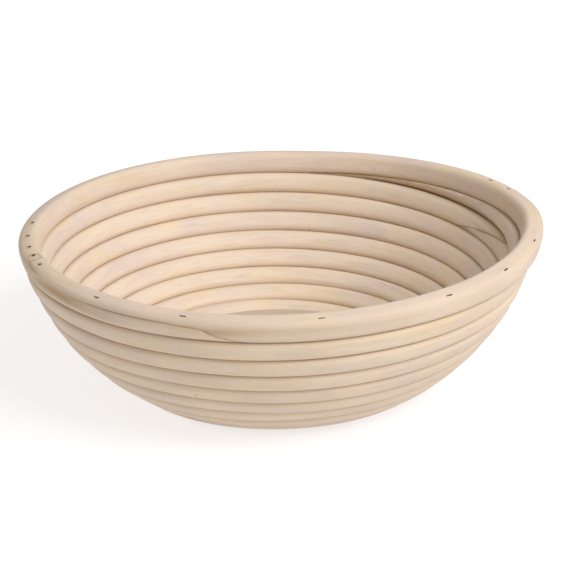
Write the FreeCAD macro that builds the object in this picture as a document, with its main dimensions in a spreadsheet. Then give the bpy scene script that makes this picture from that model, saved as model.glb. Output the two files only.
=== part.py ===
import FreeCAD, Part

# Round proofing basket (banneton) of coiled cane, in millimetres.
#
# One long spiral of round cane climbs from the flat base to the rim, counter-clockwise seen from
# above, one cane width per turn. A separate closed hoop rides on the last turn. The spiral is made
# of four lengths of cane joined by long scarfs, and short slats fill the ring at its centre.
#
# Frame: origin on the table, at the middle of the outline, +Z up. Places along the spiral are given
# in turns, counted downwards from the rim: turn 0 is at the back (+Y), turn 0.25 at the right (+X).

import math
import os

from FreeCAD import Placement, Rotation, Vector

UP = Vector(0, 0, 1)

doc = FreeCAD.newDocument("banneton_basket")

# ---------------------------------------------------------------------------------------------
# Driving dimensions
# ---------------------------------------------------------------------------------------------
DIMENSIONS = {
    "rim_radius": 118.5,         # axis of the basket to the middle of the cane at turn 0
    "rim_lean": 16.3,            # degrees from upright of the wall at the rim
    "base_edge_lean": 62.9,      # degrees from upright of the wall where it meets the base
    "bowl_depth": 64.0,          # middle of the cane at turn 0 down to the middle of the base canes
    "cane_diameter": 10.2,
    "seam_gap": 0.2,             # between one turn and the next
    "sanding_depth": 0.25,       # taken off the underside, so that the basket stands firmly
    "splice_length": 56.0,       # of the sloping cut where two lengths of the spiral meet
    "upper_splice_turn": 1.2,
    "middle_splice_turn": 4.7,
    "base_splice_turn": 8.4,
    "base_splice_length": 26.0,  # shorter, because the base turns are tight
    "rim_taper_turn": 0.03,      # where the spiral's tapered end runs out under the hoop
    "hoop_bedding": 1.8,         # depth of the groove that the hoop lies in, at the taper's thick end
    "hoop_joint_turn": -0.29,    # middle of the hoop's own scarf, on the left
    "hoop_joint_length": 34.0,
    "hoop_joint_kerf": 0.15,
    "slat_count": 4,
    "slat_diameter": 11.4,       # a slightly thicker cane
    "end_clearance": 0.2,        # between the slats and the ring around them
    "staple_wire": 0.9,
    "staple_width": 5.0,
    "staple_leg": 15.0,
    "rim_staple_leg": 18.0,
    "rim_staple_count": 12,
    "staple_spacing": 128.0,     # along the cane
    "nail_diameter": 1.2,
    "nail_length": 9.0,
    "slat_nail_length": 15.0,
    "joint_nail_count": 5,
    "joint_nail_spacing": 5.5,
}

sheet = doc.addObject("Spreadsheet::Sheet", "Sizes")
for row, (alias, value) in enumerate(DIMENSIONS.items(), start=1):
    sheet.set(f"A{row}", alias)
    sheet.set(f"B{row}", str(value))
    sheet.setAlias(f"B{row}", alias)
doc.recompute()


def size(alias):
    """The number in a cell of the sheet."""
    return float(sheet.get(alias))


cane_radius = size("cane_diameter") / 2
pitch = size("cane_diameter") + size("seam_gap")
base_height = cane_radius - size("sanding_depth")
rim_height = base_height + size("bowl_depth")
rim_lean = math.radians(size("rim_lean"))

# Seen from the side, the wall is one arc that leans out by rim_lean at the rim and by
# base_edge_lean where it meets the flat base.
base_edge_lean = math.radians(size("base_edge_lean"))
wall_radius = size("bowl_depth") / (math.sin(base_edge_lean) - math.sin(rim_lean))
wall_turns = wall_radius * (base_edge_lean - rim_lean) / pitch
base_edge_radius = size("rim_radius") - wall_radius * (math.cos(rim_lean) - math.cos(base_edge_lean))


# ---------------------------------------------------------------------------------------------
# The spiral
# ---------------------------------------------------------------------------------------------
def outline(turn):
    """Distance from the axis and height of the cane's middle: down the wall's arc, then inwards."""
    if turn > wall_turns:
        return base_edge_radius - (turn - wall_turns) * pitch, base_height
    lean = rim_lean + turn * pitch / wall_radius
    radius = size("rim_radius") - wall_radius * (math.cos(rim_lean) - math.cos(lean))
    height = rim_height - wall_radius * (math.sin(lean) - math.sin(rim_lean))
    return radius, height


HALF = 0.5
FIRST_JUNCTION = 0.25
ROUNDING = 1e-6  # turns; two places closer than this are the same place


def junction_before(turn):
    """The half-turns meet at the right and the left of the basket: number of the one before."""
    return math.floor((turn - FIRST_JUNCTION + ROUNDING) / HALF)


def mean_radius(turn):
    """Radius of the half-turn that starts at this junction."""
    return (outline(turn)[0] + outline(turn + HALF)[0]) / 2


# The outline's middle is the origin: the hoop is the widest ring all round.
axis = Vector(
    (outline(-0.25)[0] - outline(-0.75)[0]) / 2,
    (mean_radius(-0.75) - mean_radius(-0.25)) / 2,
    0,
)


def coil_point(turn):
    """A point of the spiral: half-circles, each in a plane through its two ends and the Y direction."""
    number = junction_before(turn)
    start = FIRST_JUNCTION + HALF * number
    side = 1 if number % 2 == 0 else -1
    start_radius, start_height = outline(start)
    end_radius, end_height = outline(start + HALF)
    first = Vector(side * start_radius, 0, start_height)
    last = Vector(-side * end_radius, 0, end_height)
    middle = (first + last) / 2
    across = first - middle
    along = Vector(0, -side * across.Length, 0)
    angle = math.pi * (turn - start) / HALF
    return axis + middle + across * math.cos(angle) + along * math.sin(angle)


def coil_direction(turn):
    """Unit vector along the spiral, downwards."""
    step = 0.0005
    return (coil_point(turn + step) - coil_point(turn - step)).normalize()


def coil_arcs(first_turn, last_turn):
    """The spiral's line from one turn to another, as arcs that meet smoothly."""
    turns = [first_turn]
    next_junction = FIRST_JUNCTION + HALF * (junction_before(first_turn) + 1)
    while next_junction < last_turn - ROUNDING:
        turns.append(next_junction)
        next_junction += HALF
    turns.append(last_turn)
    return [
        Part.Arc(coil_point(start), coil_point((start + end) / 2), coil_point(end)).toShape()
        for start, end in zip(turns, turns[1:])
    ]


def joining_arcs(start, start_direction, end, end_direction):
    """Two arcs that leave one point and reach another in given directions."""
    gap = end - start
    both = start_direction + end_direction
    turned = 2 * (1 - start_direction.dot(end_direction))
    reach = (-gap.dot(both) + math.sqrt(gap.dot(both) ** 2 + turned * gap.dot(gap))) / turned
    corner_a = start + start_direction * reach
    corner_b = end - end_direction * reach
    meeting = (corner_a + corner_b) / 2
    arcs = []
    for from_point, corner, to_point in ((start, corner_a, meeting), (meeting, corner_b, end)):
        chord_middle = (from_point + to_point) / 2
        height = (corner - chord_middle).Length
        half_chord = (to_point - from_point).Length / 2
        slant = math.hypot(height, half_chord)
        bulge = half_chord * (slant - half_chord) / height
        top = chord_middle + (corner - chord_middle).normalize() * bulge
        arcs.append(Part.Arc(from_point, top, to_point).toShape())
    return arcs


def outwards_at(point):
    """Level unit vector away from the basket's axis."""
    return Vector(point.x - axis.x, point.y - axis.y, 0).normalize()


def walk(arcs, distance):
    """Point and direction at a distance along a run of arcs."""
    for arc in arcs:
        if distance <= arc.Length:
            break
        distance -= arc.Length
    share = min(distance / arc.Length, 1)
    parameter = arc.FirstParameter + share * (arc.LastParameter - arc.FirstParameter)
    return arc.valueAt(parameter), arc.tangentAt(parameter)


# ---------------------------------------------------------------------------------------------
# Document helpers
# ---------------------------------------------------------------------------------------------
def add(kind, name):
    item = doc.addObject(kind, name)
    item.Label = name
    return item


def round_cane(name, arcs, grown=""):
    """A round cane swept along arcs; grown is an expression that is added to its radius."""
    line = add("Part::Feature", name + "_line")
    line.Shape = Part.Wire(arcs)
    section = add("Part::Circle", name + "_section")
    section.setExpression("Radius", "Sizes.cane_diameter / 2" + grown)
    section.Placement = Placement(
        arcs[0].valueAt(arcs[0].FirstParameter),
        Rotation(UP, arcs[0].tangentAt(arcs[0].FirstParameter)),
    )
    cane = add("Part::Sweep", name)
    cane.Sections = [section]
    cane.Spine = (line, [f"Edge{number}" for number in range(1, len(arcs) + 1)])
    cane.Solid = True
    cane.Frenet = False
    doc.recompute()
    return cane


def cut(name, base, tool):
    """base without tool."""
    item = add("Part::Cut", name)
    item.Base = base
    item.Tool = tool
    return item


def common(name, base, tool):
    """What base and tool share."""
    item = add("Part::Common", name)
    item.Base = base
    item.Tool = tool
    return item


def slope_block(name, point, direction, rise):
    """A block whose flat top passes through a point and rises along a level direction.

    rise is the height gained per millimetre, and the block is far larger than any joint.
    """
    reach = size("rim_radius")
    block = add("Part::Box", name)
    block.setExpression("Length", "4 * Sizes.rim_radius")
    block.setExpression("Width", "4 * Sizes.rim_radius")
    block.setExpression("Height", "Sizes.rim_radius")
    level = Vector(direction.x, direction.y, 0).normalize()
    along = (level + UP * rise).normalize()
    sideways = UP.cross(level)
    normal = along.cross(sideways)
    turn = Rotation(along, sideways, normal, "ZXY")
    corner = point - along * 2 * reach - sideways * 2 * reach - normal * reach
    block.Placement = Placement(corner, turn)
    return block


def group(name, shapes):
    """Identical fasteners, each its own solid, in one sub-part."""
    item = add("Part::Feature", name)
    item.Shape = Part.makeCompound(shapes)
    return item


# ---------------------------------------------------------------------------------------------
# Rim hoop: over the spiral's last turn, then down over its tapered end
# ---------------------------------------------------------------------------------------------
HOOP_HIGH = -0.75  # turn of the hoop's highest point, at the right, one whole turn above the spiral
HOOP_LOW = 0.0     # turn where it is back on the spiral, at the back

hoop_arcs = coil_arcs(HOOP_HIGH, HOOP_LOW) + joining_arcs(
    coil_point(HOOP_LOW), coil_direction(HOOP_LOW), coil_point(HOOP_HIGH), Vector(0, -1, 0)
)
hoop_length = sum(arc.Length for arc in hoop_arcs)
hoop_round = round_cane("hoop_round", hoop_arcs)
hoop_bed = round_cane("hoop_bed", hoop_arcs, " + Sizes.seam_gap / 2")

joint_point = coil_point(size("hoop_joint_turn"))
joint_along = coil_direction(size("hoop_joint_turn"))
joint_along = Vector(joint_along.x, joint_along.y, 0).normalize()
joint_angle = math.atan(size("cane_diameter") / size("hoop_joint_length"))
KERF_REACH = 1.5  # of the joint's length, so that the saw leaves the cane on both sides
kerf = add("Part::Box", "hoop_joint_kerf")
kerf.setExpression("Length", f"{KERF_REACH} * Sizes.hoop_joint_length")
kerf.setExpression("Width", "Sizes.hoop_joint_kerf")
kerf.setExpression("Height", "2 * Sizes.cane_diameter")
kerf_along = Rotation(UP, math.degrees(joint_angle)).multVec(joint_along)
kerf_across = UP.cross(kerf_along)
kerf.Placement = Placement(
    joint_point
    - kerf_along * KERF_REACH * size("hoop_joint_length") / 2
    - kerf_across * size("hoop_joint_kerf") / 2
    - UP * size("cane_diameter"),
    Rotation(kerf_along, kerf_across, UP, "ZXY"),
)
hoop_open = cut("hoop_open", hoop_round, kerf)

# ---------------------------------------------------------------------------------------------
# The spiral's four lengths, with a scarf at each meeting
# ---------------------------------------------------------------------------------------------
slat_pitch = size("slat_diameter") + size("seam_gap")
slats_width = size("slat_count") * slat_pitch + 2 * size("end_clearance")


def ring_opening(turn):
    """Width, from front to back, of the opening that is left when the spiral ends at a turn."""
    return mean_radius(turn - 1) + mean_radius(turn - HALF) - 2 * cane_radius


last_turn = FIRST_JUNCTION + HALF * junction_before(wall_turns + 1)
while ring_opening(last_turn + HALF) > slats_width:
    last_turn += HALF

splices = [
    (size("upper_splice_turn"), size("splice_length")),
    (size("middle_splice_turn"), size("splice_length")),
    (size("base_splice_turn"), size("base_splice_length")),
]
SPLICE_OVERLAP = 0.8  # of a splice's length, from its middle to where each rough length ends
STUB_MARGIN = 1.2     # the cane that shapes a splice runs on past the rough ends
TAPER_MARGIN = 0.05   # turns that the cane that shapes the taper runs on past it


def overlap_turns(turn, length):
    """How far, in turns, each length runs past the middle of a splice."""
    return SPLICE_OVERLAP * length / (2 * math.pi * outline(turn)[0])


upper_tools = []
lower_tools = []
for number, (turn, length) in enumerate(splices, start=1):
    reach = STUB_MARGIN * overlap_turns(turn, length)
    stub_arcs = coil_arcs(turn - reach, turn + reach)
    stub = round_cane(f"splice_{number}_stub", stub_arcs, " + Sizes.seam_gap / 4")
    rise = size("cane_diameter") / length
    block = slope_block(f"splice_{number}_slope", coil_point(turn), coil_direction(turn), rise)
    upper_tools.append(common(f"splice_{number}_below", stub, block))
    lower_tools.append(cut(f"splice_{number}_above", stub, block))

# The upper end of the spiral is planed to a long wedge, and the hoop lies on the planed face.
taper_arcs = coil_arcs(-TAPER_MARGIN, FIRST_JUNCTION + TAPER_MARGIN)
taper_stub = round_cane("taper_stub", taper_arcs, " + Sizes.seam_gap / 4")
taper_high = coil_point(HOOP_HIGH) + UP * (size("hoop_bedding") - cane_radius)
taper_low = coil_point(size("rim_taper_turn")) - UP * cane_radius
taper_run = taper_high - taper_low
taper_rise = taper_run.z / math.hypot(taper_run.x, taper_run.y)
taper_block = slope_block("taper_slope", taper_low, taper_run, taper_rise)
taper_tool = cut("taper_above", taper_stub, taper_block)

sanding = add("Part::Box", "sanding_block")
sanding.setExpression("Length", "2 * Sizes.rim_radius")
sanding.setExpression("Width", "2 * Sizes.rim_radius")
sanding.setExpression("Height", "Sizes.cane_diameter")
sanding.Placement = Placement(
    axis - Vector(size("rim_radius"), size("rim_radius"), size("cane_diameter")), Rotation()
)

starts = [0] + [turn - overlap_turns(turn, length) for turn, length in splices]
ends = [turn + overlap_turns(turn, length) for turn, length in splices] + [last_turn]
start_tools = [taper_tool] + lower_tools
end_tools = upper_tools + [None]
lengths = []
for number, (start, end) in enumerate(zip(starts, ends), start=1):
    cane = round_cane(f"length_{number}_round", coil_arcs(start, end))
    if end > wall_turns:
        cane = cut(f"length_{number}_sanded", cane, sanding)
    cane = cut(f"length_{number}_started", cane, start_tools[number - 1])
    if number == 1:
        cane = cut("length_1_bedded", cane, hoop_bed)
    if end_tools[number - 1]:
        cane = cut(f"length_{number}_ended", cane, end_tools[number - 1])
    lengths.append(cane)

# ---------------------------------------------------------------------------------------------
# Base slats: straight canes side by side inside the innermost ring
# ---------------------------------------------------------------------------------------------
ring_halves = {}
for start in (last_turn - 1, last_turn - HALF):
    side = 1 if junction_before(start) % 2 == 0 else -1
    centre = (coil_point(start) + coil_point(start + HALF)) / 2
    half_radius = mean_radius(start)
    well = add("Part::Cylinder", "well_front" if side > 0 else "well_back")
    well.Radius = half_radius - cane_radius - size("end_clearance")
    well.setExpression("Height", "3 * Sizes.cane_diameter")
    well.Placement = Placement(centre - UP * size("cane_diameter"), Rotation())
    ring_halves[-side] = (centre, half_radius, well)

slat_radius = size("slat_diameter") / 2
slat_height = slat_radius - size("sanding_depth")
opening_middle = (ring_halves[1][1] - ring_halves[-1][1]) / 2
slats = []
slat_rows = []
slat_count = int(size("slat_count"))
for number in range(slat_count):
    offset = opening_middle + (number - (slat_count - 1) / 2) * slat_pitch
    slat_rows.append(offset)
    rod = add("Part::Cylinder", f"slat_{number + 1}_round")
    rod.setExpression("Radius", "Sizes.slat_diameter / 2")
    rod.setExpression("Height", "2 * Sizes.rim_radius")
    rod.Placement = Placement(
        Vector(axis.x - size("rim_radius"), axis.y + offset, slat_height), Rotation(Vector(0, 1, 0), 90)
    )
    rod = cut(f"slat_{number + 1}_sanded", rod, sanding)
    for side, (centre, half_radius, well) in ring_halves.items():
        if side * offset > -slat_radius:
            rod = common(f"slat_{number + 1}_fitted_{'back' if side > 0 else 'front'}", rod, well)
    slats.append(rod)


# ---------------------------------------------------------------------------------------------
# Fasteners
# ---------------------------------------------------------------------------------------------
def staple(point, direction, down, leg):
    """A wire staple: its back lies along direction at point, and its two legs run down."""
    wire = size("staple_wire")
    half = size("staple_width") / 2
    corners = [
        (-half, 0), (half, 0), (half, leg), (half - wire, leg),
        (half - wire, wire), (wire - half, wire), (wire - half, leg), (-half, leg),
    ]
    side = down.cross(direction).normalize()
    down = direction.cross(side).normalize()
    start = point - side * wire / 2
    outline_points = [start + direction * x + down * y for x, y in corners]
    return Part.Face(Part.makePolygon(outline_points + outline_points[:1])).extrude(side * wire)


def nail(start, direction, length):
    """A thin round nail."""
    return Part.makeCylinder(size("nail_diameter") / 2, length, start, direction)


def rim_staples():
    """Down through the top of the hoop into the turns below it."""
    staples = []
    count = int(size("rim_staple_count"))
    for number in range(count):
        point, direction = walk(hoop_arcs, (number + 0.5) * hoop_length / count)
        quarter = math.atan2(axis.x - point.x, point.y - axis.y) / (2 * math.pi)
        turn = -quarter % 1
        below = coil_point(turn + 1 if turn < FIRST_JUNCTION else turn)
        down = (below - point).normalize()
        back = point - down * (cane_radius - size("staple_wire") / 2)
        staples.append(staple(back, direction, down, size("rim_staple_leg")))
    return staples


SHOULDER = math.radians(48)   # round the cane from its top, towards the outside
STAPLE_AIM = 1.1              # of a turn's spacing: the legs point just past the next cane's middle
FIRST_WALL_STAPLE_TURN = 0.45
BASE_STAPLE_START = 0.8       # turns before the base begins
BASE_STAPLE_END = 1.2         # turns before the spiral ends
NAIL_SHIFT = 0.15             # of a splice's length, each way from its middle


def seam_staples(first_turn, end_turn):
    """From the outer groove above a turn, through that turn and into the next."""
    staples = []
    turn = first_turn
    while turn < end_turn:
        point = coil_point(turn)
        direction = coil_direction(turn)
        down = (coil_point(turn + 1) - point).normalize()
        out = down.cross(direction).normalize()
        if out.dot(outwards_at(point) - UP) < 0:
            out = -out
        towards = out * math.sin(SHOULDER) - down * math.cos(SHOULDER)
        back = point + towards * (cane_radius - size("staple_wire") / 2)
        aim = point + down * pitch * STAPLE_AIM
        staples.append(staple(back, direction, (aim - back).normalize(), size("staple_leg")))
        turn += size("staple_spacing") / (2 * math.pi * outline(turn)[0])
    return staples


def splice_nails():
    """Two short nails through each scarf of the spiral."""
    nails = []
    for turn, length in splices:
        for shift in (-NAIL_SHIFT, NAIL_SHIFT):
            point = coil_point(turn + shift * length / (2 * math.pi * outline(turn)[0]))
            nails.append(nail(point + UP * size("nail_length") / 2, -UP, size("nail_length")))
    return nails


def joint_nails():
    """A close row of nails through the hoop's scarf, from the outside."""
    nails = []
    count = int(size("joint_nail_count"))
    radius = outline(size("hoop_joint_turn"))[0]
    for number in range(count):
        shift = (number - (count - 1) / 2) * size("joint_nail_spacing")
        point = coil_point(size("hoop_joint_turn") + shift / (2 * math.pi * radius))
        outwards = outwards_at(point)
        nails.append(nail(point + outwards * cane_radius, -outwards, size("nail_length")))
    return nails


def slat_nails():
    """One through the innermost ring into each end of each slat."""
    nails = []
    for offset in slat_rows:
        side = 1 if offset > 0 else -1
        centre, half_radius, _ = ring_halves[side]
        half_chord = math.sqrt((half_radius - cane_radius) ** 2 - offset ** 2)
        for end in (-1, 1):
            reach = half_chord + size("slat_nail_length") / 2
            start = Vector(centre.x + end * reach, axis.y + offset, base_height)
            nails.append(nail(start, Vector(-end, 0, 0), size("slat_nail_length")))
    return nails


rim_staple_group = group("rim_staples", rim_staples())
wall_staple_group = group("wall_staples", seam_staples(FIRST_WALL_STAPLE_TURN, wall_turns - 1))
base_staple_group = group(
    "base_staples", seam_staples(wall_turns - BASE_STAPLE_START, last_turn - BASE_STAPLE_END)
)
splice_nail_group = group("splice_nails", splice_nails())
joint_nail_group = group("rim_joint_nails", joint_nails())
slat_nail_group = group("slat_nails", slat_nails())

all_fasteners = add("Part::Compound", "all_fasteners")
all_fasteners.Links = [
    rim_staple_group, wall_staple_group, base_staple_group,
    splice_nail_group, joint_nail_group, slat_nail_group,
]

# ---------------------------------------------------------------------------------------------
# Finished sub-parts: each cane with the holes of the fasteners that pass through it
# ---------------------------------------------------------------------------------------------
finished = {"rim_hoop": cut("rim_hoop", hoop_open, all_fasteners)}
for number, cane in enumerate(lengths, start=1):
    name = f"coil_length_{number}"
    finished[name] = cut(name, cane, all_fasteners)
for number, slat in enumerate(slats, start=1):
    name = f"base_slat_{number}"
    finished[name] = cut(name, slat, all_fasteners)
for fasteners in all_fasteners.Links:
    finished[fasteners.Label] = fasteners

doc.recompute()

for item in doc.Objects:
    if {"Invalid", "Error"} & set(item.State):
        raise RuntimeError(f"{item.Label} is {item.State}")
for name, item in finished.items():
    if item.Shape.isNull() or not item.Shape.isValid():
        raise RuntimeError(f"{name} has no valid shape")

os.makedirs("parts", exist_ok=True)
for name, item in finished.items():
    item.Shape.exportStep(f"parts/{name}.step")
    box = item.Shape.BoundBox
    print(
        f"{name}: {len(item.Shape.Solids)} solid(s), {item.Shape.Volume:.0f} mm3, "
        f"x {box.XMin:.2f} {box.XMax:.2f}, y {box.YMin:.2f} {box.YMax:.2f}, "
        f"z {box.ZMin:.2f} {box.ZMax:.2f}"
    )
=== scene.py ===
# %% [markdown]
# # A coiled-cane proofing basket
#
# A banneton is one long spiral of peeled cane, wound from a flat base up to a flaring rim and stapled
# turn to turn, with a closed hoop on top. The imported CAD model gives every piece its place. Here each
# cane is made again as a finely divided surface, with its scarf joints, planed faces and grain.

# %% Load the frame
import math

import bpy
import numpy as np
from mathutils import Matrix, Vector


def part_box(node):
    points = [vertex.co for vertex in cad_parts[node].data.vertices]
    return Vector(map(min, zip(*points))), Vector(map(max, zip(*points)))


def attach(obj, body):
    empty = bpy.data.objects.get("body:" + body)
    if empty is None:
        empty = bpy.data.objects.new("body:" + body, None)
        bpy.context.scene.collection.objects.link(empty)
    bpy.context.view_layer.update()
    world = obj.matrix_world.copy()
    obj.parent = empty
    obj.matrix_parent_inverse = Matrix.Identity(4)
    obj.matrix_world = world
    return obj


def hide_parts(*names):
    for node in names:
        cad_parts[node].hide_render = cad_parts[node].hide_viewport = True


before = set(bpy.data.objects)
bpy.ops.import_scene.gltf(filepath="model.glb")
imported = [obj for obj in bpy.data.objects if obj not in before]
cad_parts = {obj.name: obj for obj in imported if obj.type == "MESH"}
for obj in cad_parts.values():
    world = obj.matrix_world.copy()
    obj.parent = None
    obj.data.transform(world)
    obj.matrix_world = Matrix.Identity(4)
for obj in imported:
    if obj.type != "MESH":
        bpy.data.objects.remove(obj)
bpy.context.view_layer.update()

MM = 0.001

# %% [markdown]
# ## The driving sizes
#
# The spiral is described by a few sizes, the same ones that the CAD model uses. The wall, seen from the
# side, is one arc from the rim to the edge of the flat base. Heights are measured from the table.

# %% Sizes of the basket
RIM_RADIUS = 118.5 * MM
RIM_LEAN = math.radians(16.3)
BASE_EDGE_LEAN = math.radians(62.9)
BOWL_DEPTH = 64 * MM
CANE_RADIUS = 5.1 * MM
PITCH = 10.4 * MM
SANDING_DEPTH = 0.25 * MM
BASE_HEIGHT = CANE_RADIUS - SANDING_DEPTH
RIM_HEIGHT = BASE_HEIGHT + BOWL_DEPTH
LAST_TURN = 12.25

WALL_RADIUS = BOWL_DEPTH / (math.sin(BASE_EDGE_LEAN) - math.sin(RIM_LEAN))
WALL_TURNS = WALL_RADIUS * (BASE_EDGE_LEAN - RIM_LEAN) / PITCH
print(f"{WALL_TURNS:.2f} turns of wall, {LAST_TURN - WALL_TURNS:.2f} turns of base")

# %% [markdown]
# ## The spiral's line
#
# A place on the spiral is given in turns, counted down from the rim: turn 0 is at the back, 0.25 at the
# right, 0.5 at the front and 0.75 at the left. Everything is worked out for whole arrays of turns at once.

# %% Outline and line of the spiral
def outline(turn):
    """Radius, height and lean of the wall: an arc down the wall, then straight in along the base."""
    lean = np.minimum(RIM_LEAN + turn * PITCH / WALL_RADIUS, BASE_EDGE_LEAN)
    inwards = np.maximum(turn - WALL_TURNS, 0) * PITCH
    radius = RIM_RADIUS - WALL_RADIUS * (math.cos(RIM_LEAN) - np.cos(lean)) - inwards
    height = RIM_HEIGHT - WALL_RADIUS * (np.sin(lean) - math.sin(RIM_LEAN))
    bend = np.clip((turn - WALL_TURNS + 0.5), 0, 1)
    lean = lean + (math.pi / 2 - lean) * bend * bend * (3 - 2 * bend)
    return radius, height, lean


def radius_at(turn):
    """Radius of the spiral at one turn."""
    return float(outline(np.array(turn, dtype=float))[0])


# The radius changes on the way round, so the axis is set off to bring the outline's middle to the origin.
AXIS = np.array([
    (radius_at(-0.25) - radius_at(-0.75)) / 2,
    (radius_at(-0.75) - radius_at(0.25)) / 4,
    0,
])


def unit(vectors):
    return vectors / np.linalg.norm(vectors, axis=-1, keepdims=True)


def round_the_axis(turn, level):
    """Points at a place round the basket (turn) whose radius and height are those of another turn (level).

    Also gives the unit vector that points from each cane to the one stacked on it.
    """
    radius, height, lean = outline(level)
    azimuth = math.pi / 2 - 2 * math.pi * turn
    outwards = np.stack([np.cos(azimuth), np.sin(azimuth), np.zeros_like(azimuth)], -1)
    up = np.array([0, 0, 1.0])
    points = AXIS + outwards * radius[:, None] + up * height[:, None]
    stacked = outwards * np.sin(lean)[:, None] + up * np.cos(lean)[:, None]
    return points, stacked


print("axis of the spiral, mm", np.round(AXIS / MM, 2))

# %% [markdown]
# ## A cane as a surface
#
# Each cane is a grid: one parameter runs along the line, the other round the section. A section point is
# found at an angle measured from the contact with the cane above, going out of the basket. Where a
# knife has taken a slice off, the part of the section beyond the cut lies on the straight chord.

# %% Section of a cane
AROUND = 44
OUTER_SQUARENESS = 3.4  # 2 would be an ellipse; the outside was sanded nearly flush
INNER_SQUARENESS = 3.0
UNCUT = 0.995           # a cut that lies further out than this share of the radius takes nothing
WHOLE = -0.985          # and one further over than this is kept here, so that a sliver of cane is left


def squareness(angle):
    return np.where(np.sin(angle) > 0, OUTER_SQUARENESS, INNER_SQUARENESS)


def section(angle, tall, wide):
    """Superellipse: a power of the cosine along the stack and of the sine across the wall."""
    power = 2 / squareness(angle)
    along_stack = tall * np.sign(np.cos(angle)) * np.abs(np.cos(angle)) ** power
    across_wall = wide * np.sign(np.sin(angle)) * np.abs(np.sin(angle)) ** power
    return np.stack([along_stack, across_wall], -1)


def sliced(points, angle, tall, wide, cut_angle, limit):
    """Section points beyond a cut, moved on to its chord, and each one's distance in radians from the edge.

    limit is how far the cut lies from the middle, as a share of the radius: 1 takes nothing, -1 everything.
    The point nearest to each edge of the cut is moved on to it, so that the edge is crisp.
    """
    limit = np.where(limit > UNCUT, 1, np.clip(limit, WHOLE, 1))[:, None]
    away = (angle - cut_angle + math.pi) % (2 * math.pi) - math.pi
    halves = [
        np.arccos(np.sign(limit) * np.abs(limit) ** (squareness(cut_angle + side * math.pi / 2) / 2))
        for side in (-1, 1)
    ]
    half = np.where(away < 0, halves[0], halves[1])
    cutting = half > 0
    from_edge = np.abs(away) - half
    on_edge = (np.abs(from_edge) < math.pi / AROUND) & cutting
    start = section(cut_angle - halves[0], tall, wide)
    end = section(cut_angle + halves[1], tall, wide)
    share = np.clip((away + halves[0]) / np.maximum(halves[0] + halves[1], 1e-6), 0, 1)
    share = np.where(on_edge, away > 0, share)[..., None]
    moved = ((from_edge < 0) | on_edge) & cutting
    points = np.where(moved[..., None], start + (end - start) * share, points)
    return points, np.where(cutting, from_edge, math.pi)


def pressed(points, press_angle, limit):
    """Section points beyond a shallow flat, pushed straight back on to it, and whether each was moved.

    limit is how far out the flat lies, as a share of how far the section reaches in that direction.
    """
    facing = np.array([math.cos(press_angle), math.sin(press_angle)])
    reach = points @ facing
    excess = np.maximum(reach - limit[:, None] * reach.max(axis=1, keepdims=True), 0)
    return points - facing * excess[..., None], excess > 0


# %% Smooth irregularity
SINES = 5


def wander(distance, wavelength, seed):
    """A smooth random curve between about -1 and 1: sines whose lengths and phases come from the seed."""
    draw = np.random.RandomState(seed)
    total = np.zeros_like(distance)
    for _ in range(SINES):
        length = wavelength * draw.uniform(0.5, 1.8)
        total += np.sin(2 * math.pi * (distance / length + draw.uniform()))
    return total / (SINES / 2)


# %% From a line to a mesh
def grid_faces(rings, around):
    """Quads between each ring of points and the next, wrapped round, with the corners in outward order."""
    ring = np.arange(rings - 1)[:, None]
    step = np.arange(around)[None, :]
    after = (step + 1) % around
    quads = np.stack([
        ring * around + step, (ring + 1) * around + step, (ring + 1) * around + after, ring * around + after
    ], -1)
    return quads.reshape(-1, 4)


def to_mesh(name, points, faces, uv, attributes):
    """A mesh object from arrays: one UV pair for each face corner, one number for each point."""
    mesh = bpy.data.meshes.new(name)
    mesh.from_pydata(points.reshape(-1, 3).tolist(), [], faces)
    layer = mesh.uv_layers.new(name="along_around")
    layer.data.foreach_set("uv", uv.ravel())
    for key, values in attributes.items():
        mesh.attributes.new(key, "FLOAT", "POINT").data.foreach_set("value", values.ravel())
    mesh.shade_smooth()
    mesh.update()
    piece = bpy.data.objects.new(name, mesh)
    bpy.context.scene.collection.objects.link(piece)
    return piece


PRESSED = 1.035           # the canes would be this much taller if nothing pressed on them
GROOVE_DEPTH = 0.10 * MM  # gap to the plane of contact over which the seam's brown fades
GROOVE_SHADE_DEPTH = 1.1 * MM    # and over which the painted shade, a tan round it, fades
EDGE_WIDTH = 1.0 * MM     # width of the darker line along the edge of a cut
UNEVEN_TALL = (0.006, 0.13)     # unevenness of the cane: share or size, and wavelength in metres
UNEVEN_WIDE = (0.014, 0.11)
UNEVEN_LINE = (0.2 * MM, 0.16)
TONE_LENGTH = 0.3
FLAT_PLANED = 0.25        # a shallow flat looks this much like a planed face


def marked(turn, angle, marks):
    """How strongly each point is marked, for stains, painted shade and dents: each mark is a bell curve
    along the cane times one round its section.
    """
    stain_and_shade = np.zeros(angle.shape)
    for middle, reach, around, width, strength in marks:
        away = (angle - math.radians(around) + math.pi) % (2 * math.pi) - math.pi
        along = (turn[:, None] - middle) / reach
        stain_and_shade = np.maximum(stain_and_shade, strength * np.exp(-along**2 - (away / math.radians(width)) ** 2))
    return stain_and_shade


def grooves(points, tall, touching):
    """How deep in a groove each point is, from 0 to 1, and how far the painted shade of the grooves, a tan,
    reaches over it.

    Both fall off with the gap to the plane of contact. touching is how strong they are above and below.
    """
    above, below = touching
    side = np.where(points[..., 0] > 0, above, below)
    gap = np.clip(tall - np.abs(points[..., 0]), 0, None)
    return side * np.exp(-gap / GROOVE_DEPTH), side * np.exp(-gap / GROOVE_SHADE_DEPTH)


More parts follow.
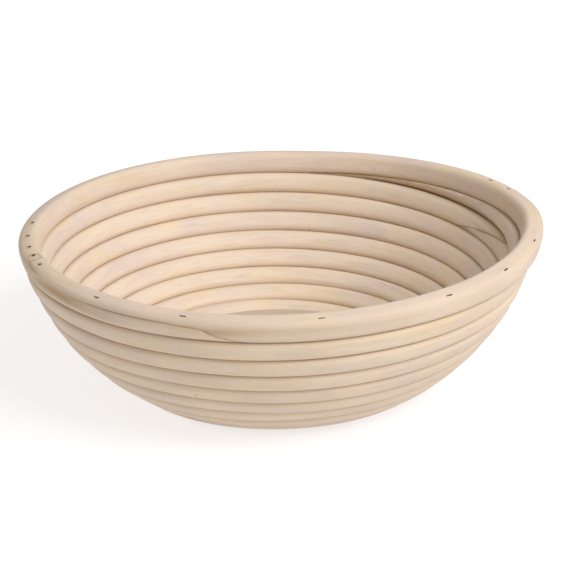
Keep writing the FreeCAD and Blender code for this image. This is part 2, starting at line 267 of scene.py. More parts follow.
def cane(name, turn, line, stacked, seed, cuts=(), half=PITCH / 2, wide=CANE_RADIUS, uneven=1.0, marks=(),
         touching=(0.6, 1.0), flats=(), dents=()):
    """A round cane along a line, with slices and shallow flats: angle and limits along the line of each.

    It is pressed against its neighbours where it touches them, so its section is flat half way to them,
    and it is sanded flat where the basket stands on it. Marks are stains and painted shade, and dents are
    hollows of so many millimetres; both are given by place along and round the cane, their reach and their
    strength.

    The attribute edge says how near a point is to the edge of a cut, planed says whether it is on one,
    tone wanders along the cane, groove and the painted shade groove_shade come from the grooves, and
    stain_and_shade, which holds stains and painted shade, from the marks.
    """
    along = unit(np.gradient(line, axis=0))
    out = unit(np.cross(stacked, along))
    stacked = np.cross(along, out)
    steps = np.linalg.norm(np.diff(line, axis=0), axis=1)
    distance = np.concatenate([[0], np.cumsum(steps)])
    angle = np.linspace(0, 2 * math.pi, AROUND, endpoint=False)[None, :] + np.zeros((len(line), 1))
    half = np.broadcast_to(half, len(line))[:, None]
    tall = half * (PRESSED + uneven * UNEVEN_TALL[0] * wander(distance, UNEVEN_TALL[1], seed)[:, None])
    wide = wide * (1 + uneven * UNEVEN_WIDE[0] * wander(distance, UNEVEN_WIDE[1], seed + 1)[:, None])
    points = section(angle, tall, wide)
    points[..., 0] = np.maximum(points[..., 0], -half)
    if touching[0]:
        points[..., 0] = np.minimum(points[..., 0], half)
    groove, groove_shade = grooves(points, half, touching)
    planed = np.zeros(angle.shape)
    edge = np.zeros(angle.shape)
    for cut_angle, limit in cuts:
        points, from_edge = sliced(points, angle, tall, wide, cut_angle, limit)
        planed = np.maximum(planed, from_edge < 0)
        edge = np.maximum(edge, np.exp(-(from_edge * CANE_RADIUS / EDGE_WIDTH) ** 2))
    for press_angle, limit in flats:
        points, moved = pressed(points, press_angle, limit)
        planed = np.maximum(planed, FLAT_PLANED * moved)
    points = points * (1 - marked(turn, angle, dents)[..., None] * MM / CANE_RADIUS)
    line = line + out * (uneven * UNEVEN_LINE[0] * wander(distance, UNEVEN_LINE[1], seed + 2))[:, None]
    surface = line[:, None] + stacked[:, None] * points[..., :1] + out[:, None] * points[..., 1:]
    surface[..., 2] = np.maximum(surface[..., 2], 0)

    rings = len(line)
    quads = grid_faces(rings, AROUND)
    caps = [list(range(AROUND)), list(range((rings - 1) * AROUND, rings * AROUND))[::-1]]
    near, low = np.meshgrid(distance[:-1], np.arange(AROUND) / AROUND, indexing="ij")
    far = np.broadcast_to(distance[1:, None], near.shape)
    high = low + 1 / AROUND
    quad_uv = np.stack([near, low, far, low, far, high, near, high], -1).reshape(-1, 2)
    cap_uv = np.concatenate([
        np.stack([np.full(AROUND, distance[0]), low[0]], -1),
        np.stack([np.full(AROUND, distance[-1]), low[0][::-1]], -1),
    ])
    tone = np.repeat(wander(distance, TONE_LENGTH, seed + 3)[:, None], AROUND, axis=1)
    piece = to_mesh(
        name, surface, quads.tolist() + caps, np.concatenate([quad_uv, cap_uv]),
        {"tone": tone, "planed": planed, "edge": edge, "groove": groove, "groove_shade": groove_shade,
         "stain_and_shade": marked(turn, angle, marks)},
    )
    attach(piece, "root")
    print(f"{name}: {distance[-1]:.2f} m of cane, {2 * len(quads)} triangles")
    return piece


# %% [markdown]
# ## The four lengths of the spiral
#
# Cane comes in lengths of a few metres, so the spiral has splices. At a splice each end is cut to a long
# slope, a scarf, and the two slopes lie on each other. The topmost end has the longest slope of all: it
# dies away under the hoop, which is how a spiral can end in a level rim.

# %% Places of the joints
SPLICES = (1.197, 4.7, 8.4)  # turns
SPLICE_LENGTHS = (62 * MM, 56 * MM, 26 * MM)
TAPER_FULL = 0.25   # turn where the cane has its full thickness; it thins out from there up to its end
TAPER_START = 0.018  # turn where the hoop begins to rise over it
TAPER_END = 0.024
BEDDING = 0.15 * MM  # how far the tapered end presses into the hoop
UNDERCUT = math.radians(222)  # the knife also took the tapered end's inner lower corner
UNDERCUT_DEPTH = 0.2
UNDERCUT_TURN, UNDERCUT_REACH = 0.15, 0.1
JOINT_GAP = 0.012  # of the radius, left on each side of a scarf
RING_SPACING = 1.6 * MM
TOP, BOTTOM = 0, math.pi  # angles round the section


def turns_between(first, last):
    """Turns from first to last, about one ring spacing apart along the cane."""
    mean_radius = (radius_at(first) + radius_at(last)) / 2
    return np.linspace(first, last, int(2 * math.pi * mean_radius * (last - first) / RING_SPACING))


def scarf(turn, number, direction):
    """Cut limit along a scarf: from 1 to -1 over its length, falling (-1) or rising (1) with the turn."""
    centre, length = SPLICES[number], SPLICE_LENGTHS[number]
    run = (turn - centre) * 2 * math.pi * radius_at(centre) / length
    return np.clip(direction * 2 * run, -1, 1 + JOINT_GAP) - JOINT_GAP


def half_scarf(number):
    """Half of a scarf's length, in turns."""
    return SPLICE_LENGTHS[number] / (4 * math.pi * radius_at(SPLICES[number]))


# %% [markdown]
# ## The line of the hoop
#
# The tapered end fills the room under the hoop, so the hoop's height is worked out first. The hoop lies on
# the spiral. The spiral climbs a whole cane on its way round, so the hoop climbs with it from the back
# round to the right, and then comes down over the tapered end to where it began.

# %% Line of the hoop
HOOP_TALL = 5.55 * MM  # half its thickness
HOOP_LIFT = 0.03       # turns
CLIMB = 0.77           # turns that the hoop comes down over the tapered end
CLIMB_CURVE = 1.15     # over 1, it comes down faster at the thick end
PROUD = 2.5 * MM
PROUD_TURN, PROUD_REACH = 0.25, 0.11
LEVEL_STEPS = 720      # places round the hoop at which its height is worked out
ROUNDING = 14          # of them are averaged, twice, to round the corner at its highest point


def hoop_level(turn):
    """Level of the hoop in turns: one turn above the spiral, and coming down where the spiral tapers."""
    part = turn % 1
    climbing = part - 1
    falling = -CLIMB * (np.maximum(part - TAPER_START, 0) / (TAPER_FULL - TAPER_START)) ** CLIMB_CURVE
    return np.where(part < TAPER_FULL, falling, climbing) - HOOP_LIFT


def smoothed(values, width):
    """Moving average over some values of a closed run."""
    padded = np.concatenate([values[-width:], values, values[:width]])
    return np.convolve(padded, np.ones(width) / width, "same")[width:-width]


def smooth_level(turn):
    """The hoop's height with the corner at its highest point rounded, as a stiff cane would round it."""
    fine = np.linspace(0, 1, LEVEL_STEPS, endpoint=False)
    level = smoothed(smoothed(hoop_level(fine), ROUNDING), ROUNDING)
    return np.interp(turn % 1, fine, level, period=1)


def standing_proud(turn):
    """How far the hoop stands out beyond the wall, at the right."""
    away = (turn - PROUD_TURN + 0.5) % 1 - 0.5
    return PROUD * np.exp(-((away / PROUD_REACH) ** 2))


def hoop_line(turn):
    """Centre line and stacking direction of the hoop; it stands a little proud over the taper."""
    line, stacked = round_the_axis(turn, smooth_level(turn))
    azimuth = math.pi / 2 - 2 * math.pi * turn
    proud = standing_proud(turn)
    line[:, 0] += proud * np.cos(azimuth)
    line[:, 1] += proud * np.sin(azimuth)
    return line, stacked


# %% [markdown]
# ## The four lengths
#
# Each length is one surface from end to end. Where glue, damp or the knife has stained the cane it gets
# marks: round the tip of the taper and at the first splice. The crack below the taper and the groove under
# the hoop's joint get brown marks too, and these are painted shade.

# %% Stains and painted shade on the spiral
SPIRAL_STAINS_AND_SHADE = {  # for a length: turn, reach in turns, degrees round the section, width in degrees, strength
    1: (
        (0.03, 0.03, 270, 60, 0.5),    # tip of the taper
        (0.11, 0.1, 196, 13, 1.0),     # underside of the taper: painted shade in the crack below it
        (1.06, 0.1, 352, 9, 0.8),      # top of the turn below it: painted shade in the crack
        (1.23, 0.02, 300, 50, 0.5),    # lower end of the first splice
        (0.655, 0.036, 22, 30, 0.6),   # painted shade in the groove under the hoop's joint
    ),
    2: ((1.16, 0.012, 250, 40, 0.6),),  # upper end of the first splice
}

# %% The four lengths
def spiral_length(number):
    """One length of cane of the spiral, with the slopes at its two ends."""
    first = TAPER_END if number == 1 else SPLICES[number - 2] - half_scarf(number - 2)
    last = LAST_TURN if number == 4 else SPLICES[number - 1] + half_scarf(number - 1)
    turn = turns_between(first, last)
    line, stacked = round_the_axis(turn, turn)
    cuts = []
    flats = []
    if number == 1:
        room = (turn - smooth_level(turn)) * PITCH - HOOP_TALL + BEDDING
        cuts.append((TOP, np.where(turn < TAPER_FULL, np.clip(2 * room / PITCH, -1, 1), 1)))
        from_undercut = (turn - UNDERCUT_TURN) / UNDERCUT_REACH
        flats.append((UNDERCUT, 1 - UNDERCUT_DEPTH * np.exp(-(from_undercut ** 4))))
    else:
        cuts.append((TOP, scarf(turn, number - 2, 1)))
    if number < 4:
        cuts.append((BOTTOM, scarf(turn, number - 1, -1)))
    marks = SPIRAL_STAINS_AND_SHADE.get(number, ())
    return cane(f"cane_length_{number}", turn, line, stacked, 10 * number, cuts, marks=marks, flats=flats)


lengths = [spiral_length(number) for number in (1, 2, 3, 4)]
for number, piece in enumerate(lengths, start=1):
    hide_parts(f"coil_length_{number}")

# %% [markdown]
# ## The rim hoop
#
# The hoop is one more cane that goes once round the rim and meets itself at the left. There the upper end
# is cut off short, and lies on the lower end, which is planed down along a slope of a fifth of a turn. A
# row of nails holds the two. The maker sanded the joint, which left a flat and a hollow beside it; the
# hollow's brown is painted shade. Where the hoop stands proud of the wall it is thicker below, and so
# still lies on the cane under it.

# %% The hoop
HOOP_JOINT = -0.303  # turn of the upper end
HOOP_LAP = ((0, 0.88), (0.03, 0.5), (0.13, 0.25), (0.18, -1))  # turns before the joint, share of the radius
HOOP_CUT = math.radians(-10)
HOOP_FILL = 0.18     # of how far it stands proud
SANDED_FLAT = math.radians(86)
SANDED_DEPTH = 0.05
SANDED_TURN, SANDED_REACH = HOOP_JOINT - 0.16, 0.07
CLOSE = 0.001        # turns
HOOP_DENTS = ((HOOP_JOINT - 1.045, 0.035, 86, 22, 0.9),)
# azimuth of each nail, and its angle outwards from the top of the hoop, in degrees
JOINT_NAILS = ((174.8, -6), (183.6, -2), (191, -2), (196.5, -2), (202.7, 0))
NAIL_STAIN = (0.0026, 5, 0.9)
HOOP_STAINS_AND_SHADE = [
    (HOOP_JOINT - 0.004, 0.012, 60, 40, 0.4),   # the cut end
    (HOOP_JOINT - 1.004, 0.014, 70, 50, 0.45),  # the lower piece beside it
    (HOOP_JOINT - 1.04, 0.036, 84, 18, 1.0),    # the hollow: painted shade in it
    (-0.464, 0.017, 88, 9, 0.7),                # where the lap runs out
    (-0.50, 0.05, 84, 9, 0.3),
    (-1.39, 0.05, 76, 10, 0.3),
]
for azimuth, angle in JOINT_NAILS:
    for lap in (0, 1):  # the hoop passes here twice
        reach, width, strength = NAIL_STAIN
        HOOP_STAINS_AND_SHADE.append(((90 - azimuth) / 360 - lap, reach, angle, width, strength))

turn = turns_between(HOOP_JOINT - 1 - HOOP_LAP[-1][0], HOOP_JOINT)
line, stacked = hoop_line(turn)
thicker = HOOP_FILL * standing_proud(turn)
line = line - stacked * thicker[:, None]
lap_place, lap_limit = np.array(HOOP_LAP).T
lower_end = np.interp(HOOP_JOINT - 1 - turn, [-0.01, *lap_place], [1, *lap_limit])
upper_end = -np.interp(
    HOOP_JOINT - turn, [*lap_place, HOOP_LAP[-1][0] + CLOSE], [*lap_limit, -1 - JOINT_GAP]
) - JOINT_GAP
hoop_cuts = [(HOOP_CUT, lower_end), (HOOP_CUT + math.pi, upper_end)]
from_sanded = (turn - SANDED_TURN) / SANDED_REACH
hoop_flats = [(SANDED_FLAT, 1 - SANDED_DEPTH * np.exp(-(from_sanded ** 2)))]
hoop = cane(
    "rim_hoop_cane", turn, line, stacked, 70, hoop_cuts, HOOP_TALL + thicker, marks=HOOP_STAINS_AND_SHADE,
    touching=(0.0, 1.0), flats=hoop_flats, dents=HOOP_DENTS,
)
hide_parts("rim_hoop")

# %% [markdown]
# ## The slats of the base
#
# A spiral can't be wound down to nothing, so the opening left at its middle is filled with short straight
# canes that lie side by side. Each has its ends cut to a slope on the side that faces the ring.

# %% Slats
SLAT_RADIUS = 5.7 * MM
SLAT_HEIGHT = SLAT_RADIUS - SANDING_DEPTH
SLAT_RING_SPACING = 0.9 * MM
SLAT_SHEAR = 0.6   # of the radius, the length of the sloping ends
SLAT_NOTCH = 0.35  # of the radius, how far in the slope goes
SLAT_UNEVEN = 0.5


def slat(number):
    """A straight cane as long as its node, with a sloping cut at each end."""
    low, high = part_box(f"base_slat_{number}")
    middle = (low[1] + high[1]) / 2
    count = int((high[0] - low[0]) / SLAT_RING_SPACING)
    x = np.linspace(low[0], high[0], count)
    line = np.stack([x, np.full(count, middle), np.full(count, SLAT_HEIGHT)], -1)
    stacked = np.broadcast_to(np.array([0, 1.0, 0]), line.shape)
    end = np.minimum(x - low[0], high[0] - x) / (SLAT_SHEAR * SLAT_RADIUS)
    outer = TOP if middle > 0 else BOTTOM
    cuts = [(outer, np.clip(end, SLAT_NOTCH, 1))]
    half = (high[1] - low[1]) / 2
    return cane(f"slat_{number}", x, line, stacked, 80 + 5 * number, cuts, half, SLAT_RADIUS, SLAT_UNEVEN)


slats = [slat(number) for number in (1, 2, 3, 4)]
for number, piece in enumerate(slats, start=1):
    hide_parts(f"base_slat_{number}")

# %% [markdown]
# ## Staples and nails
#
# Thin wire staples hold each turn to the next: their backs lie in the groove between two turns, or on
# top of the hoop, and have sunk a little into the soft cane. Each is a bent wire, made like the canes
# as a round section carried along a path, with one array calculation for each staple.

# %% Wire along a path
WIRE_RADIUS = 0.45 * MM
WIRE_AROUND = 10
WIRE_END = 0.55  # the tip's share of the wire's radius
ASKEW = np.array([0.31, 0.17, 0.93])  # no wire runs this way, so a side can be worked out from it


def wire(points, radius):
    """A round wire along points: surface points and faces. The circles round its two ends are smaller."""
    points = np.asarray(points)
    along = unit(np.gradient(points, axis=0))
    side = unit(np.cross(along, np.broadcast_to(unit(ASKEW), along.shape)))
    other = np.cross(along, side)
    angle = np.linspace(0, 2 * math.pi, WIRE_AROUND, endpoint=False)
    size = np.full(len(points), radius)
    size[[0, -1]] *= WIRE_END
    ring = side[:, None] * np.cos(angle)[:, None] + other[:, None] * np.sin(angle)[:, None]
    surface = points[:, None] + ring * size[:, None, None]
    faces = grid_faces(len(points), WIRE_AROUND).tolist()
    last = (len(points) - 1) * WIRE_AROUND
    faces += [list(range(WIRE_AROUND))[::-1], list(range(last, last + WIRE_AROUND))]
    return surface.reshape(-1, 3), [face[::-1] for face in faces]


def fasteners(name, wires, node):
    """Many wires as one piece that stands for a CAD node."""
    surface, faces, start = [], [], 0
    for points, wire_faces in wires:
        surface.append(points)
        faces += [[start + corner for corner in face] for face in wire_faces]
        start += len(points)
    corners = sum(len(face) for face in faces)
    piece = to_mesh(name, np.concatenate(surface), faces, np.zeros((corners, 2)), {})
    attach(piece, "root")
    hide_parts(node)
    print(f"{name}: {len(wires)} fasteners")
    return piece


STAPLE_BEND = 0.9 * MM
STAPLE_WIDTH = 4.0 * MM


def staple(back, along, down, leg):
    """Path of a staple: up one leg, round a tight corner, along the back and down the other leg."""
    half = STAPLE_WIDTH / 2
    corner = 0.3 * STAPLE_BEND
    one_side = [
        (half, leg), (half, leg / 2), (half, STAPLE_BEND), (half - corner, corner), (half - STAPLE_BEND, 0),
    ]
    path = [(-x, depth) for x, depth in one_side] + [(0, 0)] + one_side[::-1]
    return [back + along * x + down * depth for x, depth in path]


# %% Places on a cane
BESIDE = 0.0005  # turns


def on_cane(line_of, turn, angle, sunk, tall=PITCH / 2):
    """Point of a cane's surface at an angle round its section, with the directions along it and inwards."""
    near = np.array([turn - BESIDE, turn, turn + BESIDE])
    line, stacked = line_of(near)
    along = unit(line[2] - line[0])
    out = unit(np.cross(stacked[1], along))
    stacked = np.cross(along, out)
    place = section(np.array(angle), tall, CANE_RADIUS)
    point = line[1] + stacked * place[0] + out * place[1]
    inwards = -(stacked * math.cos(angle) + out * math.sin(angle))
    return point + inwards * sunk, along, inwards


def spiral_line(turn):
    """Centre line and stacking direction of the spiral."""
    return round_the_axis(turn, turn)


# %% Rim staples
RIM_STAPLES = (  # azimuth and degrees from the top of the hoop, outwards
    (227.4, 6), (249.5, 10), (278.8, 12), (308.3, 22), (327, 22), (344.6, 16),
    (19.2, -6), (27, -12), (60, 52), (92, 52), (125, 52), (157, 52),
)
SUNK = 0.22 * MM
RIM_LEG = 8 * MM

rim_wires = []
for azimuth, angle in RIM_STAPLES:
    place = on_cane(hoop_line, (90 - azimuth) / 360, math.radians(angle), SUNK, PRESSED * HOOP_TALL)
    rim_wires.append(wire(staple(*place, RIM_LEG), WIRE_RADIUS))
rim_staples = fasteners("rim_staple_wire", rim_wires, "rim_staples")

# %% Staples in the grooves
SEEN_STAPLES = (0.501, 0.415, 1.572, 1.472, 1.41)  # turns; these backs lie beside the groove, not in it
SHOULDER = math.radians(20)
HIDDEN = math.radians(9)
GROOVE_SUNK = 0.25 * MM
GROOVE_LEG = 7.5 * MM
STAPLE_SPACING = 128 * MM
FIRST_WALL_STAPLE = 1.8          # turn
LAST_WALL_STAPLE = WALL_TURNS - 1
FIRST_BASE_STAPLE = WALL_TURNS - 0.8
LAST_BASE_STAPLE = LAST_TURN - 1.2


def groove_staple(turn, angle):
    """One staple above a turn, with its back at an angle round the section and its legs in the cane."""
    place = on_cane(spiral_line, turn, angle, GROOVE_SUNK)
    return wire(staple(*place, GROOVE_LEG), WIRE_RADIUS)


def groove_staples(first, last):
    """Staples every so often along the spiral, pressed home in the groove above each turn."""
    wires = []
    turn = first
    while turn < last:
        wires.append(groove_staple(turn, HIDDEN))
        turn += STAPLE_SPACING / (2 * math.pi * radius_at(turn))
    return wires


seen = [groove_staple(turn, SHOULDER) for turn in SEEN_STAPLES]
hidden = groove_staples(FIRST_WALL_STAPLE, LAST_WALL_STAPLE)
wall_staples = fasteners("wall_staple_wire", seen + hidden, "wall_staples")
base_wires = groove_staples(FIRST_BASE_STAPLE, LAST_BASE_STAPLE)
base_staples = fasteners("base_staple_wire", base_wires, "base_staples")

# %% Nails
NAIL_RADIUS = 0.6 * MM
NAIL_HEAD, NAIL_TIP = 0.12 * MM, 0.4 * MM   # length of the narrower part at each end
JOINT_NAIL_RADIUS = 1.5 * NAIL_RADIUS
JOINT_NAIL_LENGTH = 8 * MM
JOINT_NAIL_PROUD = 0.12 * MM
SPLICE_NAIL_SHIFT = 0.15                     # of the scarf's length, from its middle
SPLICE_NAIL_LENGTH = 8.8 * MM
SLAT_NAIL_LENGTH = 14 * MM


def nail(point, inwards, length):
    """Path of a short nail, from its head inwards."""
    return [point + inwards * depth for depth in (0.0, NAIL_HEAD, length / 2, length - NAIL_TIP, length)]


joint_wires = []
for azimuth, angle in JOINT_NAILS:
    turn = (90 - azimuth) / 360
    head, _, inwards = on_cane(hoop_line, turn, math.radians(angle), -JOINT_NAIL_PROUD, PRESSED * HOOP_TALL)
    joint_wires.append(wire(nail(head, inwards, JOINT_NAIL_LENGTH), JOINT_NAIL_RADIUS))
joint_nails = fasteners("hoop_joint_nail_wire", joint_wires, "rim_joint_nails")

splice_wires = []
for number in (0, 1, 2):
    for share in (-SPLICE_NAIL_SHIFT, SPLICE_NAIL_SHIFT):
        turn = SPLICES[number] + share * 2 * half_scarf(number)
        line, stacked = spiral_line(np.array([turn]))
        head = line[0] + stacked[0] * SPLICE_NAIL_LENGTH / 2
        splice_wires.append(wire(nail(head, -stacked[0], SPLICE_NAIL_LENGTH), NAIL_RADIUS))
splice_nails = fasteners("splice_nail_wire", splice_wires, "splice_nails")

slat_wires = []
for number in (1, 2, 3, 4):
    low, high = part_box(f"base_slat_{number}")
    row = (low[1] + high[1]) / 2
    for end, inwards in ((low[0], 1), (high[0], -1)):
        head = np.array([end - inwards * SLAT_NAIL_LENGTH / 2, row, BASE_HEIGHT])
        slat_wires.append(wire(nail(head, np.array([inwards, 0, 0.0]), SLAT_NAIL_LENGTH), NAIL_RADIUS))
slat_nails = fasteners("slat_nail_wire", slat_wires, "slat_nails")

# %% [markdown]
# ## Writing shader maths as expressions
#
# A material is a graph of nodes. To keep the arithmetic readable, a small class wraps a socket, so that
# `1 - mask * 2` adds the Math nodes by itself. Any other node comes from one method of the graph.

# %% Sockets as numbers
class Number:
    """A value socket; an operator on it adds a Math node and wraps that node's result."""

    def __init__(self, graph, socket):
        self.graph = graph
        self.socket = socket

    def math(self, operation, first, second=0.0, clamp=False):
        settings = {"operation": operation, "use_clamp": clamp}
        return self.graph.number("ShaderNodeMath", settings, {0: first, 1: second})

    def __add__(self, other):
        return self.math("ADD", self, other)

    def __sub__(self, other):
        return self.math("SUBTRACT", self, other)

    def __mul__(self, other):
        return self.math("MULTIPLY", self, other)

    def __truediv__(self, other):
        return self.math("DIVIDE", self, other)

    def __pow__(self, other):
        return self.math("POWER", self, other)

    def __rsub__(self, other):
        return self.math("SUBTRACT", other, self)

    __radd__ = __add__
    __rmul__ = __mul__

    def clamped(self):
        return self.math("ADD", self, 0.0, clamp=True)

    def function(self, operation):
        return self.math(operation, self)

    def rises(self, start, end):
        """0 below start and 1 above end, with a straight slope between; end may be the lower one."""
        return ((self - start) / (end - start)).clamped()


class Graph:
    """The node graph of a new material."""

    def __init__(self, name):
        self.material = bpy.data.materials.new(name)
        self.material.use_nodes = True
        self.tree = self.material.node_tree
        self.tree.nodes.clear()

    def node(self, kind, settings=None, sockets=None):
        """Any node: its type, its settings, and a value or a link for each socket named or numbered."""
        node = self.tree.nodes.new(kind)
        for key, value in (settings or {}).items():
            setattr(node, key, value)
        for key, value in (sockets or {}).items():
            value = getattr(value, "socket", value)
            if isinstance(value, bpy.types.NodeSocket):
                self.tree.links.new(value, node.inputs[key])
            else:
                node.inputs[key].default_value = value
        return node

    def number(self, kind, settings=None, sockets=None, output=0):
        return Number(self, self.node(kind, settings, sockets).outputs[output])

    def attribute(self, name):
        return self.number("ShaderNodeAttribute", {"attribute_name": name}, output="Fac")

    def mixed(self, share, first, second):
        """A colour that is first where share is 0 and second where it is 1."""
        sockets = {0: share, 6: first, 7: second}
        return self.node("ShaderNodeMix", {"data_type": "RGBA"}, sockets).outputs[2]

    def noise(self, vector, scale, detail=3.0, roughness=0.5):
        sockets = {"Vector": vector, "Scale": scale, "Detail": detail, "Roughness": roughness}
        return self.number("ShaderNodeTexNoise", {}, sockets)

    def finished(self, sockets, normal=None):
        """Ends the graph with a Principled shader that has these sockets."""
        if normal is not None:
            sockets = dict(sockets, Normal=normal)
        shader = self.node("ShaderNodeBsdfPrincipled", {}, sockets)
        self.node("ShaderNodeOutputMaterial", {}, {"Surface": shader.outputs[0]})
        return self.material

# %% [markdown]
# ## Peeled cane
#
# Peeled and sanded cane is pale cream and matt, with fine fibres along it and patches that lean to pink or
# to yellow. A tan beside the grooves, stronger on the lower side of each cane, is painted shade. Dust and
# damp leave brown in the grooves, and the outside of each turn is painted a little darker than the inside,
# also as painted shade. The base cane and the slats get darker copies of the colours, painted shade for the
# floor of the bowl. The pattern has to follow the cane round its bends, so it is read from the cane's own
# UV map: the distance along and the share round. The share is bent back into a circle, so that the noise
# has no seam.

# %% Finish of the canes
# painted shade: the outside of each turn, darker than the inside
OUTSIDE_SHADE = (0.45, 0.35, 0.245, 1)
# painted shade: tan beside the grooves
TAN_SHADE = (0.56, 0.38, 0.20, 1)
SEAM = (0.40, 0.27, 0.14, 1)
FIBRE = (0.42, 0.31, 0.20, 1)
PLANED = (0.53, 0.44, 0.27, 1)
CUT_EDGE = (0.34, 0.21, 0.10, 1)
# real stains, and painted shade in a crack, a groove and a hollow
STAIN_AND_SHADE = (0.36, 0.23, 0.11, 1)
SPECK = (0.20, 0.12, 0.06, 1)


def cane_finish(name, start, pale, pink, yellow, groove_shade):
    """A cane finish; start moves the noise along, and groove_shade is how strong the tan painted shade
    beside the grooves is.
    """
    graph = Graph(name)
    uv = graph.node("ShaderNodeUVMap", {"uv_map": "along_around"}).outputs[0]
    split = graph.node("ShaderNodeSeparateXYZ", {}, {0: uv})
    along = Number(graph, split.outputs[0]) + start
    turned = Number(graph, split.outputs[1]) * (2 * math.pi)
    upward = turned.function("COSINE")
    outward = turned.function("SINE")

    def stretched(share):
        """Place on the cane in metres; the distance along is shortened to share, which draws noise out."""
        sockets = {0: along * share, 1: upward * CANE_RADIUS, 2: outward * CANE_RADIUS}
        return graph.node("ShaderNodeCombineXYZ", {}, sockets).outputs[0]

    fibres = graph.noise(stretched(0.05), 2200, 3, 0.6)
    streaks = graph.noise(stretched(0.07), 520, 2, 0.5)
    patches = graph.noise(stretched(0.6), 32, 3, 0.5)
    blotches = graph.noise(stretched(0.35), 110, 3, 0.55)
    tone = graph.attribute("tone")

    pinkness = (patches + tone * 0.05 + (streaks - 0.5) * 0.5).rises(0.40, 0.62)
    yellowness = (blotches + (streaks - 0.5) * 0.7 - tone * 0.04).rises(0.50, 0.72)
    colour = graph.mixed(pinkness, pale, pink)
    colour = graph.mixed(yellowness * 0.75, colour, yellow)

    # Painted shade: the outside of each turn is made darker than the inside.
    outside_shade = outward.rises(-0.2, 0.8) * (0.2 + patches * 0.4)
    colour = graph.mixed(outside_shade, colour, OUTSIDE_SHADE)

    # Painted shade: tan beside the grooves, stronger on the lower side of each cane.
    tan_shade = (graph.attribute("groove_shade") ** 1.5 * (0.25 + blotches * 1.2) * groove_shade).clamped()
    colour = graph.mixed(tan_shade, colour, TAN_SHADE)
    seam = (graph.attribute("groove") * (0.5 + patches)).clamped()
    colour = graph.mixed(seam, colour, SEAM)

    darker_fibres = fibres.rises(0.52, 0.80) * 0.34 + streaks.rises(0.52, 0.8) * 0.2
    colour = graph.mixed(darker_fibres, colour, FIBRE)

    planed = graph.attribute("planed")
    colour = graph.mixed(planed * 0.45, colour, PLANED)
    edge = graph.attribute("edge")
    colour = graph.mixed((edge ** 2 * 0.4 * (0.4 + blotches)).clamped(), colour, CUT_EDGE)
    # Real stains, and painted shade in the crack under the taper, the groove under the hoop's joint and the
    # hoop's hollow.
    stain_and_shade = graph.attribute("stain_and_shade") * (0.55 + streaks * 0.9)
    colour = graph.mixed(stain_and_shade.clamped(), colour, STAIN_AND_SHADE)

    cells = graph.node("ShaderNodeTexVoronoi", {}, {"Vector": stretched(1.0), "Scale": 60.0})
    near = Number(graph, cells.outputs["Distance"]).rises(0.045, 0.02)
    colour = graph.mixed(near * 0.6, colour, SPECK)

    height = fibres * 0.5 + streaks * 0.9 + blotches * 0.7
    sockets = {"Height": height, "Strength": 0.55, "Distance": 0.00025}
    bump = graph.node("ShaderNodeBump", {}, sockets).outputs[0]
    roughness = 0.5 + fibres * 0.16 + patches * 0.1 - tan_shade * 0.06
    finish = {"Base Color": colour, "Roughness": roughness, "Specular IOR Level": 0.32}
    return graph.finished(finish, bump)


COIL_FINISH = ((0.715, 0.59, 0.475, 1), (0.66, 0.545, 0.48, 1), (0.73, 0.59, 0.39, 1), 0.8)
HOOP_FINISH = ((0.68, 0.555, 0.455, 1), (0.64, 0.525, 0.45, 1), (0.69, 0.55, 0.38, 1), 0.75)
# The base cane and the slats get darker copies of the cane's colours: painted shade for the floor of the
# bowl.
SLAT_SHADE_FINISH = ((0.53, 0.43, 0.34, 1), (0.49, 0.40, 0.34, 1), (0.55, 0.43, 0.29, 1), 0.7)
BASE_SHADE_FINISH = ((0.53, 0.43, 0.34, 1), (0.50, 0.40, 0.34, 1), (0.55, 0.43, 0.30, 1), 0.8)
coil_finishes = [cane_finish(f"peeled_cane_{number}", 1.7 * number, *COIL_FINISH) for number in (1, 2, 3)]
coil_finishes.append(cane_finish("peeled_cane_4", 6.8, *BASE_SHADE_FINISH))
hoop_finish = cane_finish("hoop_cane", 11.3, *HOOP_FINISH)
slat_shade_finish = cane_finish("slat_cane", 17.9, *SLAT_SHADE_FINISH)

for piece, finish in zip(lengths, coil_finishes):
    piece.data.materials.append(finish)
hoop.data.materials.append(hoop_finish)
for piece in slats:
    piece.data.materials.append(slat_shade_finish)
print(len(bpy.data.materials), "finishes so far")

# %% [markdown]
# ## Dulled wire
#
# The staples and nails are thin iron wire that has gone brown where it meets damp dough and cane. The
# metal is mixed with rust by noise on Object coordinates, at a scale smaller than the wire.

# %% Finish of the wire
def wire_finish(name, scale):
    """Dark iron with patches of rust, which are rougher and not metallic."""
    graph = Graph(name)
    place = graph.node("ShaderNodeTexCoord").outputs["Object"]
    rust = graph.noise(place, scale, 4, 0.6).rises(0.36, 0.62)
    grain = graph.noise(place, scale * 4, 2, 0.5)
    colour = graph.mixed(rust, (0.14, 0.11, 0.09, 1), (0.12, 0.055, 0.024, 1))
    colour = graph.mixed(grain.rises(0.45, 0.75) * 0.5, colour, (0.05, 0.03, 0.02, 1))
    sockets = {"Height": grain, "Strength": 0.4, "Distance": 0.00008}
    bump = graph.node("ShaderNodeBump", {}, sockets).outputs[0]
    finish = {"Base Color": colour, "Metallic": 0.85 - rust * 0.6, "Roughness": 0.38 + rust * 0.34}
    return graph.finished(finish, bump)


staple_finish = wire_finish("staple_iron", 900)
nail_finish = wire_finish("nail_iron", 1200)
for piece in (rim_staples, wall_staples, base_staples):
    piece.data.materials.append(staple_finish)
for piece in (joint_nails, splice_nails, slat_nails):
    piece.data.materials.append(nail_finish)

# %% [markdown]
# ## The stand, the light and the camera
#
# A pale floor under a soft, nearly white sky shows the basket as on a sheet of paper. The key light is a
# large soft lamp to the right of the camera and not very high, so the inside of the left wall and the
# outside of the right wall are the bright ones, and the floor of the bowl is darker.

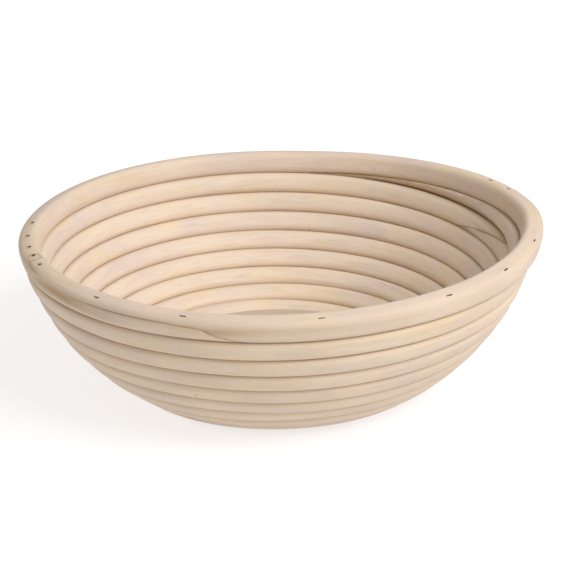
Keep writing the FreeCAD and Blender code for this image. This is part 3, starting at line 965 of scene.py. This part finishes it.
# %% Floor
floor_mesh = bpy.data.meshes.new("floor")
FLOOR_HALF = 6.0
FLOOR_LEVEL = -0.1 * MM
corners = [(x * FLOOR_HALF, y * FLOOR_HALF, FLOOR_LEVEL) for x, y in ((-1, -1), (1, -1), (1, 1), (-1, 1))]
floor_mesh.from_pydata(corners, [], [(0, 1, 2, 3)])
floor = bpy.data.objects.new("floor", floor_mesh)
bpy.context.scene.collection.objects.link(floor)
paper = Graph("paper")
PAPER = {
    "Base Color": (0.38, 0.38, 0.39, 1), "Roughness": 0.9, "Specular IOR Level": 0.1,
    "Emission Color": (1.0, 0.99, 0.98, 1), "Emission Strength": 0.7,
}
floor_mesh.materials.append(paper.finished(PAPER))

# %% Sky and lamps
world = bpy.data.worlds.new("studio")
world.use_nodes = True
sky = world.node_tree.nodes["Background"].inputs
sky["Color"].default_value = (1.0, 0.975, 0.94, 1)
sky["Strength"].default_value = 0.57
bpy.context.scene.world = world
bpy.context.scene.view_settings.view_transform = "Standard"


def lamp(name, place, aim, size, power, colour):
    """A square area lamp at a place, turned towards aim."""
    data = bpy.data.lights.new(name, "AREA")
    data.size = size
    data.energy = power
    data.color = colour
    item = bpy.data.objects.new(name, data)
    item.location = place
    item.rotation_euler = (Vector(aim) - Vector(place)).to_track_quat("-Z", "Y").to_euler()
    bpy.context.scene.collection.objects.link(item)


KEY_PLACE = (1.03, -0.86, 1.24)
lamp("key", KEY_PLACE, aim=(0, 0, 0.04), size=1.1, power=29, colour=(1.0, 0.99, 0.97))

# %% Camera
CAMERA_PLACE = Vector((-0.0054, -1.2867, 0.5609))
CAMERA_ELEVATION = math.radians(21.76)
CAMERA_TURN = math.radians(0.367)
CAMERA_LEAN = math.radians(0.688)
CAMERA_LENS = 179.4   # mm
CAMERA_SENSOR = 36.0
ahead = Vector((
    math.sin(CAMERA_TURN) * math.cos(CAMERA_ELEVATION),
    math.cos(CAMERA_TURN) * math.cos(CAMERA_ELEVATION),
    -math.sin(CAMERA_ELEVATION),
))
rightwards = ahead.cross(Vector((0, 0, 1))).normalized()
upwards = rightwards.cross(ahead) * math.cos(CAMERA_LEAN) + rightwards * math.sin(CAMERA_LEAN)
rightwards = ahead.cross(upwards)
camera_data = bpy.data.cameras.new("camera")
camera_data.lens = CAMERA_LENS
camera_data.sensor_width = CAMERA_SENSOR
camera = bpy.data.objects.new("camera", camera_data)
turned = Matrix((rightwards, upwards, -ahead)).transposed().to_4x4()
camera.matrix_world = Matrix.Translation(CAMERA_PLACE) @ turned
bpy.context.scene.collection.objects.link(camera)
bpy.context.scene.camera = camera
